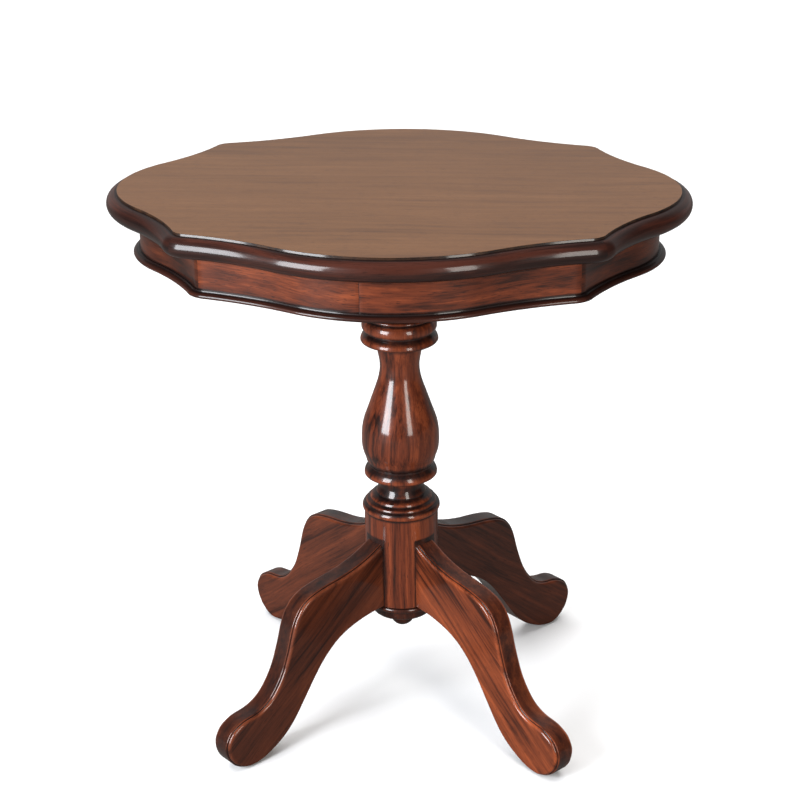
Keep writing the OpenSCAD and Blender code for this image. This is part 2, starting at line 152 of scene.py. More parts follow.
def curve(knots, steps=10, handle=0.36):
    """A smooth line through knots (out, up, heading in degrees)."""
    line = []
    for (x0, z0, h0), (x1, z1, h1) in zip(knots, knots[1:]):
        a, d = Vector((x0, z0)), Vector((x1, z1))
        reach = handle * (d - a).length
        b = a + reach * Vector((math.cos(math.radians(h0)), math.sin(math.radians(h0))))
        c = d - reach * Vector((math.cos(math.radians(h1)), math.sin(math.radians(h1))))
        for i in range(steps):
            t = i / steps
            line.append(a * (1 - t) ** 3 + b * 3 * t * (1 - t) ** 2 + c * 3 * t * t * (1 - t) + d * t**3)
    line.append(Vector(knots[-1][:2]))
    return [(p.x, p.y) for p in line]


def bead(r, w, low, high, steps=14):
    """A half round from one height to another that stands out by w to the radius r."""
    arc = [math.pi * (i / steps - 0.5) for i in range(steps + 1)]
    return [(r - w + w * math.cos(a), (low + high) / 2 + (high - low) / 2 * math.sin(a)) for a in arc]


def near(value, marks):
    """1 at a mark, falling to 0 at the mark's width from it. Marks are (place, width)."""
    return max((max(0.0, 1 - abs(value - place) / width) for place, width in marks), default=0.0)


def turned(profile, shade_marks, rubbed, steps=LATHE_STEPS):
    """A profile of (radius, height) in millimetres spun round the middle line."""
    bm = bmesh.new()
    grain = bm.verts.layers.float_vector.new("grain")
    shade_and_stain = bm.verts.layers.float.new("shade_and_stain")
    rub = bm.verts.layers.float.new("rub")
    verts = [bm.verts.new((r * MM, 0, z * MM)) for r, z in profile]
    edges = [bm.edges.new(pair) for pair in zip(verts, verts[1:])]
    bmesh.ops.spin(
        bm, geom=verts + edges, cent=(0, 0, 0), axis=(0, 0, 1), dvec=(0, 0, 0),
        angle=2 * math.pi, steps=steps, use_merge=True,
    )
    bmesh.ops.remove_doubles(bm, verts=bm.verts, dist=WELD)
    for v in bm.verts:
        v[grain] = (v.co.z, v.co.x, v.co.y)
        v[shade_and_stain] = near(v.co.z / MM, shade_marks)
        v[rub] = near(v.co.z / MM, rubbed)
    return bm


def bench_made(name, bm, material, sharp=32.0):
    """The finished object of a mesh, smooth but for its arrises and the rims of its flats."""
    bmesh.ops.recalc_face_normals(bm, faces=bm.faces)
    mesh = bpy.data.meshes.new(name)
    bm.to_mesh(mesh)
    bm.free()
    mesh.shade_smooth()
    mesh.set_sharp_from_angle(angle=math.radians(sharp))
    rims = {edge for face in mesh.polygons if len(face.vertices) > 4 for edge in face.edge_keys}
    for edge in mesh.edges:
        if edge.key in rims:
            edge.use_edge_sharp = True
    mesh.materials.append(material)
    return stand(name, mesh, (0, 0, 0))


def vectors(tree, operation, a, b, c=(0.0, 0.0, 0.0)):
    return put(tree, "ShaderNodeVectorMath", {0: a, 1: b, 2: c}, operation=operation).outputs[0]


def times(tree, a, b):
    return vectors(tree, "MULTIPLY", a, b)


def maths(tree, operation, a, b=0.0, c=0.0):
    return put(tree, "ShaderNodeMath", {0: a, 1: b, 2: c}, operation=operation).outputs[0]


def cloud(tree, vector, stretch, detail, roughness=0.5):
    """Noise drawn out along a board: stretch is how often it changes, in each direction."""
    laid = times(tree, vector, stretch)
    inputs = {"Vector": laid, "Scale": 1.0, "Detail": detail, "Roughness": roughness}
    return put(tree, "ShaderNodeTexNoise", inputs).outputs[0]


def ease(tree, value, low, high, to_low=0.0, to_high=1.0):
    inputs = {"Value": value, "From Min": low, "From Max": high, "To Min": to_low, "To Max": to_high}
    return put(tree, "ShaderNodeMapRange", inputs, interpolation_type="SMOOTHSTEP").outputs[0]


def blend(tree, share, a, b):
    return put(tree, "ShaderNodeMix", {0: share, 6: a, 7: b}, data_type="RGBA").outputs[2]


def finish_outputs(tree):
    """What a finish group gives its material: a colour, a roughness and a height for bump."""
    for name, kind in (("Color", "Color"), ("Roughness", "Float"), ("Height", "Float")):
        tree.interface.new_socket(name=name, in_out="OUTPUT", socket_type="NodeSocket" + kind)


def sawn_wood():
    """Colour, roughness and pore depth of sawn wood. Grain runs along a board, across it
    and through it, in metres. The input for stain at joints also carries painted shade, darkening
    quirks, hollows and faces under overhangs nearly black; rub is bare high wood."""
    tree = bpy.data.node_groups.new("sawn wood", "ShaderNodeTree")
    for name, kind, value in (
        ("Grain", "NodeSocketVector", (0, 0, 0)), ("Shade and stain", "NodeSocketFloat", 0.0),
        ("Rub", "NodeSocketFloat", 0.0), ("Pale", "NodeSocketColor", (0.4, 0.1, 0.04, 1)),
        ("Mid", "NodeSocketColor", (0.2, 0.05, 0.02, 1)),
        ("Dark", "NodeSocketColor", (0.05, 0.01, 0.01, 1)),
        ("Streaks", "NodeSocketFloat", 0.5), ("Layers", "NodeSocketFloat", 0.3),
        ("Mottle", "NodeSocketFloat", 0.3), ("Pores", "NodeSocketFloat", 0.5),
        ("Board", "NodeSocketFloat", 20.0), ("Seed", "NodeSocketFloat", 0.0),
    ):
        tree.interface.new_socket(name=name, in_out="INPUT", socket_type=kind).default_value = value
    finish_outputs(tree)
    given = put(tree, "NodeGroupInput").outputs
    parts = put(tree, "ShaderNodeSeparateXYZ", {0: given["Grain"]}).outputs
    across = maths(tree, "DIVIDE", parts[1], given["Board"])
    board = maths(tree, "FLOOR", maths(tree, "ADD", across, 0.5))
    drawn = maths(tree, "ADD", board, given["Seed"])
    chance = put(tree, "ShaderNodeTexWhiteNoise", {"W": drawn}, noise_dimensions="1D")
    start = vectors(tree, "MULTIPLY_ADD", chance.outputs["Color"], (7.0, 3.0, 5.0), given["Grain"])
    # the growth layers sway a few millimetres along the board
    slow = times(tree, start, (3.2, 9.0, 9.0))
    sway = put(tree, "ShaderNodeTexNoise", {"Vector": slow, "Scale": 1.0, "Detail": 2.0})
    bend = vectors(tree, "SUBTRACT", sway.outputs["Color"], (0.5, 0.5, 0.5))
    laid = vectors(tree, "ADD", times(tree, bend, (0, 0.03, 0.03)), start)
    streak = ease(tree, cloud(tree, laid, (3.5, 110.0, 110.0), 5.0, 0.66), 0.3, 0.7)
    layer = ease(tree, cloud(tree, laid, (1.2, 17.0, 34.0), 3.0), 0.3, 0.7)
    fibre = cloud(tree, laid, (26.0, 800.0, 800.0), 2.0)
    mottle = ease(tree, cloud(tree, laid, (9.0, 46.0, 46.0), 3.0, 0.6), 0.33, 0.66)
    pore = ease(tree, cloud(tree, laid, (85.0, 1250.0, 1250.0), 1.0), 0.62, 0.72)
    tone = maths(tree, "MULTIPLY_ADD", maths(tree, "SUBTRACT", streak, 0.5), given["Streaks"], 0.5)
    tone = maths(tree, "MULTIPLY_ADD", maths(tree, "SUBTRACT", mottle, 0.5), given["Mottle"], tone)
    tone = maths(tree, "MULTIPLY_ADD", maths(tree, "SUBTRACT", layer, 0.5), given["Layers"], tone)
    tone = maths(tree, "MULTIPLY_ADD", maths(tree, "SUBTRACT", fibre, 0.5), 0.5, tone)
    tone = maths(tree, "MULTIPLY_ADD", maths(tree, "SUBTRACT", chance.outputs["Value"], 0.5), 0.12, tone)
    low = blend(tree, ease(tree, tone, 0.06, 0.5), given["Dark"], given["Mid"])
    colour = blend(tree, ease(tree, tone, 0.44, 0.96), low, given["Pale"])
    colour = blend(tree, maths(tree, "MULTIPLY", pore, given["Pores"]), colour, given["Dark"])
    rub = maths(tree, "MULTIPLY", given["Rub"], ease(tree, streak, -0.4, 1.1))
    colour = blend(tree, maths(tree, "MULTIPLY", rub, 0.55), colour, given["Pale"])
    # painted shade: where the input for painted shade and stain is set, the colour goes nearly black, in
    # patches
    patchy = ease(tree, cloud(tree, given["Grain"], (60.0, 90.0, 90.0), 3.0, 0.6), 0.2, 0.75, 0.72, 1.0)
    shade_and_stain = maths(tree, "MULTIPLY", ease(tree, given["Shade and stain"], 0.0, 0.8), patchy)
    colour = blend(tree, shade_and_stain, colour, (0.006, 0.003, 0.003, 1))
    rough = maths(tree, "MULTIPLY_ADD", maths(tree, "SUBTRACT", fibre, 0.5), 0.16, 0.34)
    rough = maths(tree, "MULTIPLY_ADD", shade_and_stain, 0.12, rough)
    sunk = maths(tree, "MULTIPLY", pore, 0.65)
    height = maths(tree, "SUBTRACT", maths(tree, "MULTIPLY", fibre, 0.35), sunk)
    put(tree, "NodeGroupOutput", {"Color": colour, "Roughness": rough, "Height": height})
    return tree


SAWN_WOOD = sawn_wood()


def polished(
    name, pale, mid, dark, streaks, layers, mottle, pores, seed,
    board=20.0, coat=0.85, relief=0.12, matt=0.0,
):
    """Wood stained, darkened by painted shade in its quirks and hollows, with stain gathered at its
    joints, and lacquered, or left matt. board is the boards' width in metres.
    """
    material = bpy.data.materials.new(name)
    material.use_nodes = True
    tree = material.node_tree
    shader = tree.nodes["Principled BSDF"]
    laid, shade_and_stain, rub = (
        put(tree, "ShaderNodeAttribute", attribute_name=a).outputs[out]
        for a, out in (("grain", "Vector"), ("shade_and_stain", "Fac"), ("rub", "Fac"))
    )
    wood = put(
        tree, "ShaderNodeGroup",
        {"Grain": laid, "Shade and stain": shade_and_stain, "Rub": rub,
         "Pale": (*pale, 1), "Mid": (*mid, 1), "Dark": (*dark, 1),
         "Streaks": streaks, "Layers": layers, "Mottle": mottle, "Pores": pores,
         "Board": board, "Seed": seed},
        node_tree=SAWN_WOOD,
    )
    tree.links.new(wood.outputs["Color"], shader.inputs["Base Color"])
    tree.links.new(maths(tree, "ADD", wood.outputs["Roughness"], matt), shader.inputs["Roughness"])
    relief_inputs = {"Height": wood.outputs["Height"], "Strength": relief, "Distance": 0.0004}
    bump = put(tree, "ShaderNodeBump", relief_inputs)
    tree.links.new(bump.outputs["Normal"], shader.inputs["Normal"])
    shader.inputs["Coat Weight"].default_value = coat
    shader.inputs["Coat Roughness"].default_value = 0.11
    shader.inputs["Specular IOR Level"].default_value = 0.15
    return material


pillar_profile = (
    [(0, HUB_Z), (49, HUB_Z), (HUB_R, HUB_Z + 1)]
    + [(HUB_R, HUB_Z + 1 + 4.0 * i) for i in range(1, 33)]
    + [(HUB_R, HUB_TOP - 0.3)]
    + curve([(50.4, HUB_TOP + 0.3, 0), (52.7, HUB_TOP + 3.6, 90), (50, HUB_TOP + 9.5, 135)])
    + curve([(47.8, HUB_TOP + 10.2, 75), (47.4, HUB_TOP + 12.6, 105), (44.5, HUB_TOP + 15.1, 145)])
    + curve([(42.1, HUB_TOP + 16, 75), (41.6, HUB_TOP + 18.4, 110), (36, HUB_TOP + 23.1, 145)])
    + curve([(33.6, HUB_TOP + 23.8, 60), (33.2, HUB_TOP + 27, 110), (29.6, HUB_TOP + 35.5, 92),
             (31, HUB_TOP + 48.5, 75)])
    + curve([(48.2, HUB_TOP + 51.7, 10), (49.2, HUB_TOP + 54, 92), (43, HUB_TOP + 65.5, 135)])
    + curve([(42.8, HUB_TOP + 67, 48), (48.7, HUB_TOP + 81.9, 68), (VASE_R, HUB_TOP + 102.5, 90),
             (46.7, HUB_TOP + 137.7, 110), (35.6, HUB_TOP + 169.5, 109), (NECK_R, HUB_TOP + 208.5, 90),
             (28.8, HUB_TOP + 226.5, 80), (30.5, HUB_TOP + 241.5, 85)])
    + curve([(46, HUB_TOP + 243.8, 8), (51.5, HUB_TOP + 246.5, 92), (45, HUB_TOP + 256.9, 138)])
    + [(44.4, HUB_TOP + 257.6), (44.4, HUB_TOP + 259.8)]
    + curve([(46.5, HUB_TOP + 260.2, 10), (49.8, HUB_TOP + 265.3, 90), (44.2, HUB_TOP + 277.3, 150)])
    + curve([(44.4, HUB_TOP + 277.7, 0), (47.5, HUB_TOP + 280.4, 90), (44.5, HUB_TOP + 284, 150)])
    + curve([(43.5, HUB_TOP + 284.4, 110), (38, HUB_TOP + 306.5, 90), (40, HUB_TOP + 341.5, 80)])
    + bead(46, 5, HUB_TOP + 343.5, HUB_TOP + 355.5)
    + curve([(42.5, HUB_TOP + 356.5, 45), (50, BLOCK_Z - 14, 70)])
    + [(51, BLOCK_Z - 12), (51, BLOCK_Z), (TENON_R, BLOCK_Z), (TENON_R, TENON_TOP), (0, TENON_TOP)]
)
# places above the hub where painted shade darkens the quirks, hollows and ring tops, and where the lips
# are rubbed bare
pillar_painted_shade = [
    (HUB_TOP + up, width)
    for up, width in ((0, 1.8), (9.6, 4.2), (15.8, 3.2), (24, 5), (34, 14), (50, 4), (64.5, 9), (69, 8),
                      (241, 9), (257.5, 7.5), (278, 4), (284.5, 3.5), (342.5, 3))
]
pillar_high = [
    (HUB_TOP + up, width)
    for up, width in ((3.4, 3.6), (12.0, 1.8), (18, 2), (55.5, 4.5), (248, 5.0), (266, 6.0))
]
pillar_bm = turned(pillar_profile, pillar_painted_shade, pillar_high)
shade_and_stain_layer = pillar_bm.verts.layers.float["shade_and_stain"]
LEG_ANGLES = {"front_left": 225.0, "front_right": 315.0, "back_left": 135.0, "back_right": 45.0}
LEG_T = 33.0
# stain lies on the hub beside each leg, out to this far from it and up to this height
STAIN_OUT, STAIN_UP = 1.2, 256.0
for v in pillar_bm.verts:
    if abs(v.co.xy.length / MM - HUB_R) < 0.1 and v.co.z / MM < STAIN_UP:
        for angle in LEG_ANGLES.values():
            way = Vector((math.cos(math.radians(angle)), math.sin(math.radians(angle))))
            off = abs(way.x * v.co.y - way.y * v.co.x) / MM
            if v.co.xy.dot(way) > 0 and off < LEG_T / 2 + STAIN_OUT:
                v[shade_and_stain_layer] = 0.9
pillar_finish = polished(
    "pillar mahogany", (0.27, 0.06, 0.021), (0.125, 0.026, 0.0105), (0.018, 0.006, 0.004),
    streaks=0.6, layers=0.42, mottle=0.12, pores=0.6, seed=3.0,
)
pillar = bench_made("turned_pillar", pillar_bm, pillar_finish)
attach(pillar, "base")
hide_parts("pillar")

# ---- cap and drop under the hub ----
# A turned cap with a bead covers the dovetails from below, and a small drop with a dowel
# is glued up through it into the hub.
CAP_H, DROP_H, DOWEL_R = 23.0, 27.0, 6.0
cap_low = HUB_Z - CAP_H
cap_profile = (
    [(DOWEL_R, cap_low), (38, cap_low)]
    + curve([(40, cap_low + 0.6, 40), (43, cap_low + 6, 75), (45, HUB_Z - 9.5, 60)])
    + bead(49.5, 3.5, HUB_Z - 9, HUB_Z - 1.5)
    + [(46, HUB_Z - 1), (46, HUB_Z), (DOWEL_R, HUB_Z), (DOWEL_R, cap_low)]
)
drop_low = cap_low - DROP_H
drop_profile = (
    curve([(0, drop_low, 0), (10, drop_low + 3.5, 35), (16, drop_low + 14, 90),
           (12.5, drop_low + 21, 125)])
    + [(12.5, drop_low + DROP_H), (DOWEL_R, drop_low + DROP_H), (DOWEL_R, HUB_Z + 20), (0, HUB_Z + 20)]
)
cap_finish = polished(
    "cap mahogany", (0.16, 0.038, 0.016), (0.06, 0.016, 0.009), (0.013, 0.006, 0.005),
    streaks=0.4, layers=0.2, mottle=0.12, pores=0.5, seed=11.0,
)
# painted shade under the cap's bead, at its top against the hub, and round the drop's neck below the cap
for name, node, profile, quirks in (
    ("turned_cap", "base_cap", cap_profile, [(HUB_Z - 9.3, 1.8), (HUB_Z - 1, 2.0)]),
    ("turned_drop", "drop_finial", drop_profile, [(drop_low + 23, 3.5)]),
):
    piece = bench_made(name, turned(profile, quirks, []), cap_finish)
    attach(piece, "base")
    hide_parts(node)

# ---- legs ----
# Four legs bandsawn from 33 mm mahogany, each dovetailed into the hub. A step and a small
# ovolo are worked along both upper arrises from the hub down round the toe.
LEG_TOP = [
    (50, 249, -30), (104, 228, -13), (158, 219, -13), (191, 202, -50), (208, 165, -75),
    (219, 131, -70), (238, 97, -52), (267, 77, -16), (296, 71, -24), (314, 58, -58), (320, 41, -92),
]
LEG_SOLE = [
    (309, 14, -130), (281, 3, 180), (243, 14, 152), (204, 47, 127), (172, 92, 126),
    (138, 129, 142), (98, 148, 165), (50, 155, 178),
]
LEG_START, LEG_CROWN, LEG_BASE = 45.5, 251.0, 155.0
LEG_STEPS = 9
GRAIN_LEAN = math.radians(-38)
# The worked arris and the plain one, as (down from the upper edge, in from the side, painted shade,
# rub). The quirk at the foot of the step is darkened nearly black as painted shade, and the flat upper
# face by about half.
OVOLO_R, STEP_H = 3.7, 1.9
worked = (
    [(7.2, 0.0, 0.0, 0.0), (5.9, 0.0, 0.0, 0.3)]
    + [(STEP_H + OVOLO_R * (1 - math.sin(a)), OVOLO_R * (1 - math.cos(a)), 0.0, math.sin(2 * a))
       for a in [math.pi / 2 * i / 7 for i in range(1, 8)]]
    + [(STEP_H + 0.25, OVOLO_R + 0.4, 1.0, 0.0), (STEP_H, OVOLO_R + 0.65, 1.0, 0.0)]
    + [(STEP_H - 0.5, OVOLO_R + 0.7, 0.8, 0.0)]
    + [(0.35, OVOLO_R + 0.85, 0.1, 0.5), (0.0, OVOLO_R + 1.3, 0.2, 0.5), (0.0, OVOLO_R + 2.6, 0.5, 0.0)]
)
SOFT_R = 1.6
plain = [
    (SOFT_R * (1 - math.sin(a)), SOFT_R * (1 - math.cos(a)), 0.0, 0.3)
    for a in [math.pi / 2 * i / (len(worked) - 1) for i in range(len(worked))]
]
SEAM_WELD = 5e-6


def laid_grid(columns, rows, place):
    """A sheet of columns by rows of points. place(column, row) gives each one its point,
    its place in the wood's grain, and how much it is glazed and rubbed."""
    bm = bmesh.new()
    bmesh.ops.create_grid(bm, x_segments=columns - 1, y_segments=rows - 1, size=0.5)
    grain = bm.verts.layers.float_vector.new("grain")
    shade_and_stain = bm.verts.layers.float.new("shade_and_stain")
    rub = bm.verts.layers.float.new("rub")
    for v in bm.verts:
        column = round((v.co.x + 0.5) * (columns - 1))
        row = round((v.co.y + 0.5) * (rows - 1))
        v.co, v[grain], v[shade_and_stain], v[rub] = place(column, row)
    return bm


def closed_up(bm):
    """The seams of a sheet merged and its open ends capped."""
    bmesh.ops.remove_doubles(bm, verts=bm.verts, dist=SEAM_WELD)
    bmesh.ops.holes_fill(bm, edges=[e for e in bm.edges if e.is_boundary], sides=0)
    return bm


leg_line = (
    [(LEG_START, LEG_CROWN)]
    + curve(LEG_TOP + LEG_SOLE, steps=LEG_STEPS)
    + [(LEG_START, LEG_BASE)]
)
# the worked arris runs out under the toe, over this many points of the line
TOE, RUN_OUT = LEG_STEPS * (len(LEG_TOP) + 1), 5.0
leg_spread = []
for i, here in enumerate(leg_line):
    before, after = leg_line[i - 1] if i else here, leg_line[i + 1] if i + 1 < len(leg_line) else here
    run = Vector(after) - Vector(before)
    leg_spread.append(Vector((-run.y, run.x)).normalized())


def leg_maker(angle):
    way = Vector((math.cos(math.radians(angle)), math.sin(math.radians(angle)), 0))
    side = Vector((-way.y, way.x, 0))
    count = len(worked)

    def place(column, row):
        i = column % len(leg_line)
        half = row if row < count + 1 else 2 * count - row
        sign = -1 if row < count + 1 else 1
        share = min(1.0, max(0.0, (TOE - i) / RUN_OUT))
        # the middle of the flat upper face is darkened by about half, fading out under the toe
        if half == count:
            down, inset, shade_and_stain, rub = 0.0, LEG_T / 2, 0.6 * share, 0.0
        else:
            down, inset, shade_and_stain, rub = (
                share * a + (1 - share) * b for a, b in zip(worked[half], plain[half])
            )
        out = Vector(leg_line[i]) - leg_spread[i] * down
        through = sign * (LEG_T / 2 - inset)
        if out.x < HUB_R - 1:
            shade_and_stain = 0.9
        point = (way * out.x + side * through + Vector((0, 0, out.y))) * MM
        grain = Vector((
            out.x * math.cos(GRAIN_LEAN) + out.y * math.sin(GRAIN_LEAN),
            out.y * math.cos(GRAIN_LEAN) - out.x * math.sin(GRAIN_LEAN),
            through,
        )) * MM
        return point, grain, shade_and_stain, rub

    return place


# painted light and shade: the four legs are copies of one wood whose pale and mid tones are raised or
# lowered leg by leg for how the light falls on each, the front right much paler and the back right
# darker
for place_name, seed, pale, mid in (
    ("front_left", 21.0, (0.2, 0.05, 0.02), (0.095, 0.023, 0.01)),
    ("front_right", 22.4, (0.37, 0.083, 0.027), (0.175, 0.038, 0.014)),
    ("back_left", 23.7, (0.2, 0.047, 0.018), (0.1, 0.024, 0.0105)),
    ("back_right", 24.9, (0.16, 0.038, 0.016), (0.075, 0.019, 0.009)),
):
    leg_finish = polished(
        "leg mahogany " + place_name, pale, mid, (0.02, 0.006, 0.004),
        streaks=0.5, layers=0.4, mottle=0.14, pores=0.7, seed=seed,
    )
    leg_bm = laid_grid(len(leg_line) + 1, 2 * len(worked) + 1, leg_maker(LEG_ANGLES[place_name]))
    leg = bench_made("sawn_leg_" + place_name, closed_up(leg_bm), leg_finish, sharp=40.0)
    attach(leg, "base")
    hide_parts("leg_" + place_name)

# ---- top ----
# The flat face is made up of long boards glued edge to edge, with its upper arris eased.
# It stands a small step above the rounded edge that is glued round it.
TABLE_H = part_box("top_panel")[1].z / MM
UNDER_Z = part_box("top_panel")[0].z / MM
# a shape is (lobe radius, reach, hollow radius, ear radius, ear centre), drawn round and then
# drawn in along Y to the oval
OVAL = 0.755
FACE = (218.0, 360.0, 367.0, 25.0, 332.0)
FINE = 3
LOBE_STEPS, HOLLOW_STEPS, EAR_STEPS = 8 * FINE, 5 * FINE, 3 * FINE
EIGHTH = LOBE_STEPS + HOLLOW_STEPS + EAR_STEPS
LAP = 8 * EIGHTH


def unit(a):
    return Vector((math.cos(math.radians(a)), math.sin(math.radians(a))))


def heading(v):
    return math.degrees(math.atan2(v.y, v.x))


def eighth_at(shape, i):
    """Station i of the first eighth of a shape before the oval: its point and heading."""
    lobe_r, reach, hollow_r, ear_r, ear_at = shape
    lobe, ear = Vector((reach - lobe_r, 0)), ear_at * unit(45)
    a, b, v = lobe_r + hollow_r, ear_r + hollow_r, ear - lobe
    along = (a * a - b * b + v.length_squared) / (2 * v.length)
    out = math.sqrt(a * a - along * along)
    hollow = lobe + (v * along + Vector((v.y, -v.x)) * out) / v.length
    a1, a2 = heading(hollow - lobe), heading(hollow - ear)
    if i <= LOBE_STEPS:
        turn = a1 * i / LOBE_STEPS
        return lobe + lobe_r * unit(turn), turn
    if i <= LOBE_STEPS + HOLLOW_STEPS:
        turn = a1 + (a2 - a1) * (i - LOBE_STEPS) / HOLLOW_STEPS
        return hollow - hollow_r * unit(turn), turn
    turn = a2 + (45 - a2) * (i - LOBE_STEPS - HOLLOW_STEPS) / EAR_STEPS
    return ear + ear_r * unit(turn), turn


def station(shape, i, d=0.0):
    """Station i of the oval outline, d millimetres outside it."""
    quarter, j = divmod(i % LAP, 2 * EIGHTH)
    if j <= EIGHTH:
        p, turn = eighth_at(shape, j)
    else:
        p, turn = eighth_at(shape, 2 * EIGHTH - j)
        p, turn = Vector((p.y, p.x)), 90 - turn
    for _ in range(int(quarter)):
        p = Vector((-p.y, p.x))
    n = unit(turn + 90 * quarter)
    n = Vector((OVAL * n.x, n.y)).normalized()
    return Vector((p.x, p.y * OVAL)) + d * n


ARRIS = 0.45
SHADE_FROM, SHADE_TO = UNDER_Z + 1, TABLE_H - 0.05      # painted shade: the step between these is darkened nearly black, for the dark it reflects
panel = bmesh.new()
panel_grain = panel.verts.layers.float_vector.new("grain")
panel_painted_shade = panel.verts.layers.float.new("shade_and_stain")
panel.verts.layers.float.new("rub")
rim = [panel.verts.new((*(station(FACE, i) * MM), UNDER_Z * MM)) for i in range(LAP)]
board_face = panel.faces.new(rim)
raised = bmesh.ops.extrude_face_region(panel, geom=[board_face])["geom"]
raised_verts = [v for v in raised if isinstance(v, bmesh.types.BMVert)]
bmesh.ops.translate(panel, verts=raised_verts, vec=(0, 0, (TABLE_H - UNDER_Z) * MM))
upper = [e for e in panel.edges if all(v in raised_verts for v in e.verts)]
bmesh.ops.bevel(
    panel, geom=upper, offset=ARRIS * MM, affect="EDGES", segments=3, profile=0.5, material=-1,
    clamp_overlap=True,
)
for v in panel.verts:
    v[panel_grain] = (v.co.x, v.co.y, v.co.z)
    v[panel_painted_shade] = 1.0 if SHADE_FROM < v.co.z / MM < SHADE_TO else 0.0
top_finish = polished(
    "top mahogany", (0.2, 0.09, 0.037), (0.152, 0.066, 0.0255), (0.085, 0.036, 0.016),
    streaks=0.36, layers=0.16, mottle=0.1, pores=0.95, seed=31.0,
    board=0.094, coat=0.7,
)
top_panel = bench_made("top_boards", panel, top_finish)
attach(top_panel, "top")
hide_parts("top_panel")

# ---- rounded edge ----
# Four lengths of darker mahogany, mitred at the ears and rounded over to a full half
# round, stand round the top below its step.
EDGE_STEP, LAND = 3.0, 0.5
NOSE_R = (TABLE_H - UNDER_Z - EDGE_STEP) / 2
NOSE_STEPS = 22


def swept(shape, stations, section, offset=0.0):
    """A section of (out, height, painted shade and stain, rub) points carried along stations of an
    outline.
    stations are (station, pulled in by), and offset is where the first lies in the board."""
    lengths = [offset / MM]
    for (a, _), (b, _) in zip(stations, stations[1:]):
        lengths.append(lengths[-1] + (station(shape, b) - station(shape, a)).length)
    rows = len(section) + 1

    def place(column, row):
        out, up, shade_and_stain, rub = section[row % len(section)]
        i, pulled = stations[column]
        spot = station(shape, i, out - pulled)
        return (
            (spot.x * MM, spot.y * MM, up * MM),
            (lengths[column] * MM, up * MM, out * MM),
            max(shade_and_stain, 1.0 if pulled else 0.0),
            rub,
        )

    return closed_up(laid_grid(len(stations), rows, place))


EARS = [(2 * k + 1) * EIGHTH for k in range(4)]
SIDES = {
    "right": (EARS[3] - LAP, EARS[0]), "back": (EARS[0], EARS[1]),
    "left": (EARS[1], EARS[2]), "front": (EARS[2], EARS[3]),
}
nose = [math.pi / 2 - math.pi * i / NOSE_STEPS for i in range(NOSE_STEPS + 1)]
# painted shade: the inner top corner and the top of the nose, at the foot of the step, are darkened
# nearly black
edge_section = [(0.0, UNDER_Z, 0.0, 0.0), (0.0, TABLE_H - EDGE_STEP, 1.0, 0.0)] + [
    (LAND + NOSE_R * math.cos(a), UNDER_Z + NOSE_R + NOSE_R * math.sin(a),
     near(a, [(math.pi / 2, 0.35)]), 0.5 * near(a, [(0.6, 0.7)]))
    for a in nose
]
for k, (side, (first, last)) in enumerate(SIDES.items()):
    edge_finish = polished(
        "edge mahogany " + side, (0.052, 0.0145, 0.009), (0.019, 0.0072, 0.0056),
        (0.008, 0.0042, 0.0038), streaks=0.55, layers=0.35, mottle=0.2, pores=0.7,
        seed=41.0 + 1.3 * k, coat=0.55,
    )
    edge = bench_made(
        "rounded_edge_" + side,
        swept(FACE, [(i, 0) for i in range(first, last + 1)], edge_section),
        edge_finish, sharp=50.0,
    )
    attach(edge, "top")
    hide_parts("edge_" + side)

# ---- apron ----
# Six pieces of curved apron faced with figured mahogany. They meet at the ears and in two
# butt joints, where the stain has gathered in the eased ends.
APRON_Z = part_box("apron_front_left")[0].z / MM
APRON_T = 15.0
LOW_ARRIS, HIGH_ARRIS = 0.6, 0.2
APRON = (187.0, 334.0, 460.0, 25.0, 303.0)
BACK_JOINT, FRONT_JOINT = 2 * EIGHTH, 6 * EIGHTH - 2 * FINE
APRONS = {
    "right": (EARS[3] - LAP, EARS[0]),
    "back_right": (EARS[0], BACK_JOINT),
    "back_left": (BACK_JOINT, EARS[1]),
    "left": (EARS[1], EARS[2]),
    "front_left": (EARS[2], FRONT_JOINT),
    "front_right": (FRONT_JOINT, EARS[3]),
}
# painted shade: the face is darkened nearly black just above the moulding, and more and more towards its
# top under the top's edge
apron_section = (
    [(-APRON_T, APRON_Z, 0.0, 0.0), (-LOW_ARRIS, APRON_Z, 0.0, 0.0)]
    + [(0.0, APRON_Z + LOW_ARRIS, 0.0, 0.0)]
    + [(0.0, APRON_Z + up, shade_and_stain, 0.0)
       for up, shade_and_stain in ((8.5, 1.0), (9.6, 0.9), (11.5, 0.25), (15, 0.0), (30, 0.0), (44, 0.0),
                         (50, 0.3))]
    + [(0.0, UNDER_Z - HIGH_ARRIS, 0.9, 0.0), (-HIGH_ARRIS, UNDER_Z, 0.9, 0.0)]
    + [(-APRON_T, UNDER_Z, 0.0, 0.0)]
)
EASED, JOINT_LINE = 0.15, 0.12     # the ends are eased in by this, over this share of a station
RIGHT_START = 0.33                  # where on its board the front right length starts, in metres
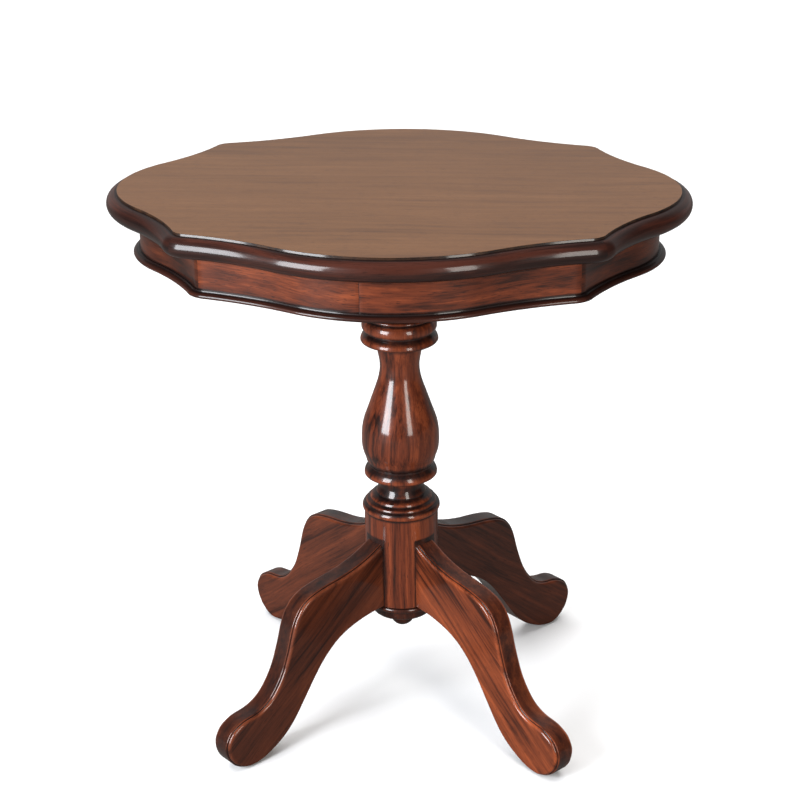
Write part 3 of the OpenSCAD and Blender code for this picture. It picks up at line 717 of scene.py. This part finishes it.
# painted light and shade: each length's tones are scaled for how the softboxes strike it, the left and
# right sides darkened and the front right lightened
APRON_PAINTED_LIGHT = {
    "right": 0.55, "back_right": 0.9, "back_left": 0.9, "left": 0.45, "front_left": 0.9,
    "front_right": 1.12,
}
for k, (side, (first, last)) in enumerate(APRONS.items()):
    pale, mid, dark = (
        tuple(part * APRON_PAINTED_LIGHT[side] for part in colour)
        for colour in ((0.27, 0.06, 0.02), (0.12, 0.026, 0.0105), (0.02, 0.007, 0.005))
    )
    # the two front lengths are cut from one board
    seed = 52.0 if side.startswith("front") else 55.0 + 2.1 * k
    apron_finish = polished(
        "apron mahogany " + side, pale, mid, dark,
        streaks=0.34, layers=0.2, mottle=0.5, pores=0.9, seed=seed, coat=0.7,
    )
    offset = RIGHT_START if side == "front_right" else 0.0
    stations = (
        [(first, EASED), (first + JOINT_LINE, 0.0)]
        + [(i, 0.0) for i in range(first + 1, last)]
        + [(last - JOINT_LINE, 0.0), (last, EASED)]
    )
    apron_bm = swept(APRON, stations, apron_section, offset)
    apron = bench_made("curved_apron_" + side, apron_bm, apron_finish)
    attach(apron, "top")
    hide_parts("apron_" + side)

# ---- moulding ----
# Four lengths of a small dark nosing with a quirk above it, glued round the lower edge of
# the apron and mitred at the ears.
MOULDING_H, MOULDING_OUT = 9.0, 9.0
# painted shade: the quirk and the flat above it are darkened nearly black
moulding_section = [
    (out * MOULDING_OUT, APRON_Z + up * MOULDING_H, shade_and_stain, rub)
    for out, up, shade_and_stain, rub in (
        (0.0, 0.0, 0.0, 0.0), (0.55, 0.0, 0.0, 0.0), (0.74, 0.04, 0.0, 0.0), (0.9, 0.12, 0.0, 0.1),
        (0.97, 0.22, 0.0, 0.4), (1.0, 0.35, 0.0, 0.7), (0.97, 0.48, 0.0, 0.9), (0.9, 0.58, 0.0, 0.7),
        (0.76, 0.66, 0.1, 0.3), (0.6, 0.72, 0.3, 0.0), (0.44, 0.76, 0.7, 0.0), (0.35, 0.8, 1.0, 0.0),
        (0.29, 0.88, 1.0, 0.0), (0.25, 1.0, 1.0, 0.0), (0.0, 1.0, 1.0, 0.0),
    )
]
moulding_finish = polished(
    "moulding mahogany", (0.11, 0.029, 0.015), (0.036, 0.011, 0.0075), (0.01, 0.0045, 0.004),
    streaks=0.4, layers=0.2, mottle=0.1, pores=0.5, seed=66.0, coat=0.55,
)
for side, (first, last) in SIDES.items():
    moulding = bench_made(
        "lower_moulding_" + side,
        swept(APRON, [(i, 0) for i in range(first, last + 1)], moulding_section),
        moulding_finish, sharp=50.0,
    )
    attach(moulding, "top")
    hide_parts("moulding_" + side)

# ---- blocks and bearers ----
# Plain softwood without polish: blocks glued in the corners of the apron and behind its
# joints, two bearers screwed under the top, and the wedge in the pillar's tenon.


def eased(node, arris, lay, sharp=35.0, flat=0.4):
    """A merged copy of a CAD node with its arrises eased. lay gives a point's place along,
    across and through the grain. Faces within flat degrees of each other become one."""
    bm = bmesh.new()
    bm.from_mesh(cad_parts[node].data)
    bmesh.ops.remove_doubles(bm, verts=bm.verts, dist=WELD)
    bmesh.ops.dissolve_limit(bm, angle_limit=math.radians(flat), verts=bm.verts, edges=bm.edges)
    turns = [e for e in bm.edges if e.is_manifold and e.calc_face_angle() > math.radians(sharp)]
    bmesh.ops.bevel(
        bm, geom=turns, offset=arris * MM, affect="EDGES", segments=2, profile=0.5, material=-1,
        clamp_overlap=True,
    )
    bmesh.ops.triangulate(bm, faces=[f for f in bm.faces if len(f.verts) > 4])
    grain = bm.verts.layers.float_vector.new("grain")
    for v in bm.verts:
        v[grain] = lay(v.co)
    return bm


def lay_x(p):
    return p.x, p.y, p.z


def lay_y(p):
    return p.y, p.x, p.z


def lay_z(p):
    return p.z, p.x, p.y


inner_finish = polished(
    "unpolished softwood", (0.6, 0.4, 0.21), (0.46, 0.28, 0.14), (0.24, 0.13, 0.065),
    streaks=0.5, layers=0.5, mottle=0.1, pores=0.3, seed=71.0, coat=0.0, relief=0.3, matt=0.32,
)
for name, node, arris, lay in (
    ("corner_block_back_right", "corner_block_br", 0.8, lay_z),
    ("corner_block_back_left", "corner_block_bl", 0.8, lay_z),
    ("corner_block_front_left", "corner_block_fl", 0.8, lay_z),
    ("corner_block_front_right", "corner_block_fr", 0.8, lay_z),
    ("joint_block_at_back", "joint_block_back", 0.8, lay_z),
    ("joint_block_at_front", "joint_block_front", 0.8, lay_z),
    ("rubbed_blocks", "glue_blocks", 0.8, lay_z),
    ("top_bearer_left", "bearer_left", 1.2, lay_y),
    ("top_bearer_right", "bearer_right", 1.2, lay_y),
    ("pillar_wedge", "tenon_wedge", 0.3, lay_x),
):
    piece = bench_made(name, eased(node, arris, lay), inner_finish, sharp=30.0)
    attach(piece, "base" if node == "tenon_wedge" else "top")
    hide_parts(node)

# ---- tilt block ----
# A thick oblong of mahogany on the pillar's tenon, its back upper arris rounded to turn
# under the top. It is waxed, not lacquered.
block_finish = polished(
    "waxed mahogany", (0.2, 0.06, 0.028), (0.1, 0.03, 0.015), (0.03, 0.011, 0.008),
    streaks=0.45, layers=0.4, mottle=0.1, pores=0.7, seed=77.0, coat=0.15, relief=0.2, matt=0.1,
)
block = bench_made("square_tilt_block", eased("tilt_block", 1.5, lay_x), block_finish, sharp=30.0)
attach(block, "base")
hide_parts("tilt_block")

# ---- metal ----
# Steel pins, screws and glides, and a brass slide bolt with its base plate, knob and keeper.
# Both metals have dulled in patches and carry small stains and fine scratches.
def handled_metal():
    """Colour, roughness and height of old metal, from a bright, a dull and a stain colour."""
    tree = bpy.data.node_groups.new("handled metal", "ShaderNodeTree")
    for name, kind in (
        ("Place", "NodeSocketVector"), ("Bright", "NodeSocketColor"),
        ("Dull", "NodeSocketColor"), ("Stain", "NodeSocketColor"),
    ):
        tree.interface.new_socket(name=name, in_out="INPUT", socket_type=kind)
    finish_outputs(tree)
    given = put(tree, "NodeGroupInput").outputs
    bloom = ease(tree, cloud(tree, given["Place"], (160.0, 160.0, 160.0), 4.0, 0.6), 0.35, 0.65)
    spots = ease(tree, cloud(tree, given["Place"], (520.0, 520.0, 520.0), 2.0), 0.62, 0.72)
    scratches = cloud(tree, given["Place"], (220.0, 2600.0, 2600.0), 2.0)
    colour = blend(tree, bloom, given["Bright"], given["Dull"])
    colour = blend(tree, maths(tree, "MULTIPLY", spots, 0.7), colour, given["Stain"])
    rough = maths(tree, "MULTIPLY_ADD", bloom, 0.16, 0.24)
    rough = maths(tree, "MULTIPLY_ADD", spots, 0.2, rough)
    put(tree, "NodeGroupOutput", {"Color": colour, "Roughness": rough, "Height": scratches})
    return tree


HANDLED_METAL = handled_metal()


def metal(name, bright, dull, stain):
    material = bpy.data.materials.new(name)
    material.use_nodes = True
    tree = material.node_tree
    shader = tree.nodes["Principled BSDF"]
    place = put(tree, "ShaderNodeTexCoord").outputs["Object"]
    old = put(
        tree, "ShaderNodeGroup",
        {"Place": place, "Bright": (*bright, 1), "Dull": (*dull, 1), "Stain": (*stain, 1)},
        node_tree=HANDLED_METAL,
    )
    tree.links.new(old.outputs["Color"], shader.inputs["Base Color"])
    tree.links.new(old.outputs["Roughness"], shader.inputs["Roughness"])
    score_inputs = {"Height": old.outputs["Height"], "Strength": 0.15, "Distance": 0.0001}
    scored = put(tree, "ShaderNodeBump", score_inputs)
    tree.links.new(scored.outputs["Normal"], shader.inputs["Normal"])
    shader.inputs["Metallic"].default_value = 1.0
    return material


steel_finish = metal("dull steel", (0.5, 0.5, 0.51), (0.3, 0.29, 0.28), (0.12, 0.08, 0.055))
brass_finish = metal("old brass", (0.52, 0.36, 0.15), (0.3, 0.2, 0.085), (0.1, 0.065, 0.035))
for name, node, body, finish, kind, arris in (
    ("steel_bearer_screws", "bearer_screws", "top", steel_finish, "steel", 0.2),
    ("steel_pin_left", "pivot_pin_left", "base", steel_finish, "steel", 0.4),
    ("steel_pin_right", "pivot_pin_right", "base", steel_finish, "steel", 0.4),
    ("steel_glides", "glides", "base", steel_finish, "steel", 0.4),
    ("brass_base_plate", "catch_plate", "top", brass_finish, "brass", 0.25),
    ("brass_plate_screws", "catch_screws", "top", brass_finish, "brass", 0.15),
    ("brass_slide_bolt", "slide_bolt", "bolt", brass_finish, "brass", 0.5),
    ("brass_bolt_knob", "bolt_knob", "bolt", brass_finish, "brass", 0.2),
    ("brass_keeper", "keeper", "base", brass_finish, "brass", 0.2),
    ("brass_keeper_screws", "keeper_screws", "base", brass_finish, "brass", 0.15),
):
    piece = bench_made(name, eased(node, arris, lay_x), finish, sharp=30.0)
    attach(piece, body)
    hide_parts(node)
